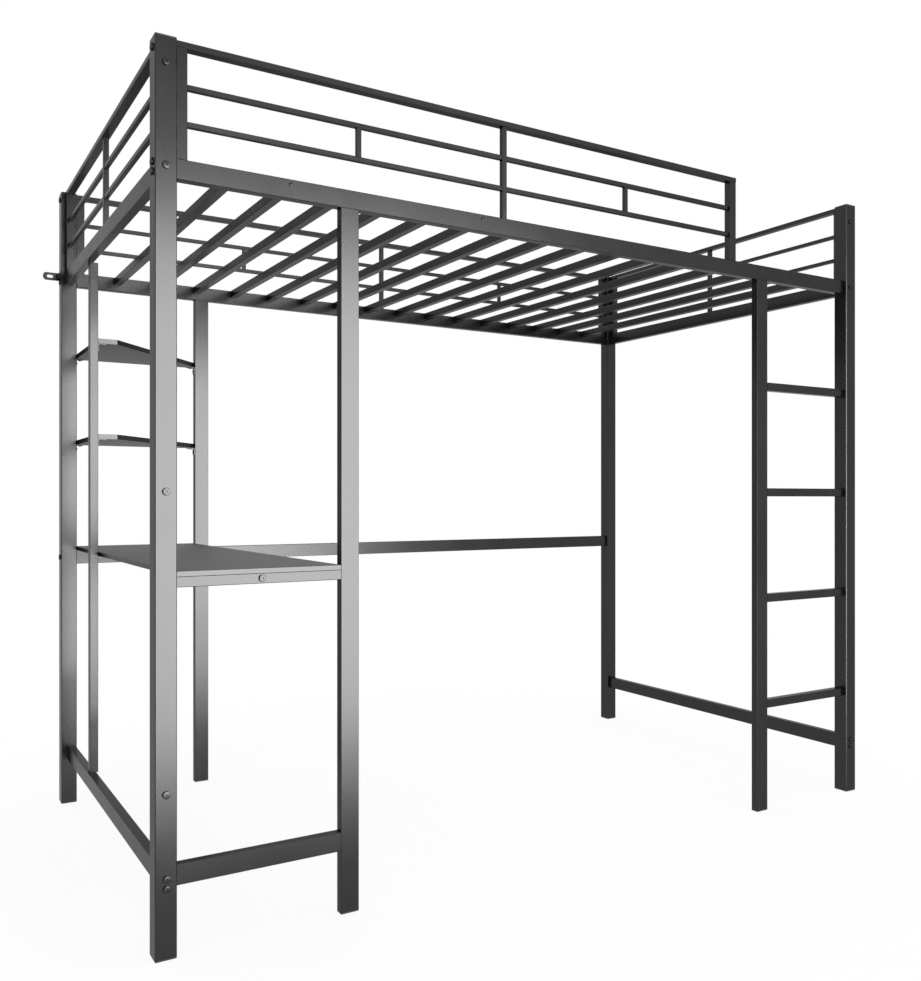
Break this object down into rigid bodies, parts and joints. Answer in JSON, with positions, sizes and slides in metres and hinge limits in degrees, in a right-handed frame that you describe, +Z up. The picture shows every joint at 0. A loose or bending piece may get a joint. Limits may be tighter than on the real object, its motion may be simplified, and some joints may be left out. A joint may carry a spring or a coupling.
{
  "type": "loft bed with desk",
  "caption": "High single bed in square steel tube, with slatted deck, guards all round, ladder at one end, and desk with corner shelves under the other.",
  "frame": {"origin": "on the floor, under the middle of the whole outline, wall anchor and bolt heads included", "axes": "+X along the bed towards the ladder end, +Y to the back, +Z up"},
  "size_m": [2.0336, 1.0632, 1.676],
  "materials": {
    "frame": "charcoal powder coat, satin",
    "board": "fibreboard in charcoal laminate, satin",
    "cap": "moulded, fine matt",
    "fastener": "black coated"
  },
  "bodies": {
    "root": {"back_rail": "frame", "bed_rail_back": "frame", "bed_rail_front": "frame", "bed_rail_left": "frame", "bed_rail_right": "frame", "bracket_screws": "fastener", "desk_board": "board", "desk_cross_tube": "frame", "desk_leg_back": "frame", "desk_leg_front": "frame", "desk_rail_back": "frame", "desk_rail_front": "frame", "feet": "cap", "guard_back_bars": "frame", "guard_back_top": "frame", "guard_back_uprights": "frame", "guard_front_bars": "frame", "guard_front_top": "frame", "guard_front_uprights": "frame", "guard_left_bars": "frame", "guard_left_top": "frame", "guard_left_uprights": "frame", "guard_right_bars": "frame", "guard_right_top": "frame", "guard_right_uprights": "frame", "ladder_leg": "frame", "low_rail_front": "frame", "low_rail_left": "frame", "low_rail_right": "frame", "post_back_left": "frame", "post_back_right": "frame", "post_bolts": "fastener", "post_caps": "cap", "post_front_left": "frame", "post_front_right": "frame", "rungs": "frame", "shelf_brackets": "frame", "shelf_lower": "board", "shelf_upper": "board", "shelf_upright": "frame", "short_bolts": "fastener", "slat_01": "frame", "slat_02": "frame", "slat_03": "frame", "slat_04": "frame", "slat_05": "frame", "slat_06": "frame", "slat_07": "frame", "slat_08": "frame", "slat_09": "frame", "slat_10": "frame", "slat_11": "frame", "slat_12": "frame", "slat_13": "frame", "slat_14": "frame", "slat_15": "frame", "slat_16": "frame", "slat_screws": "fastener", "wall_anchor": "frame"}
  },
  "joints": []
}
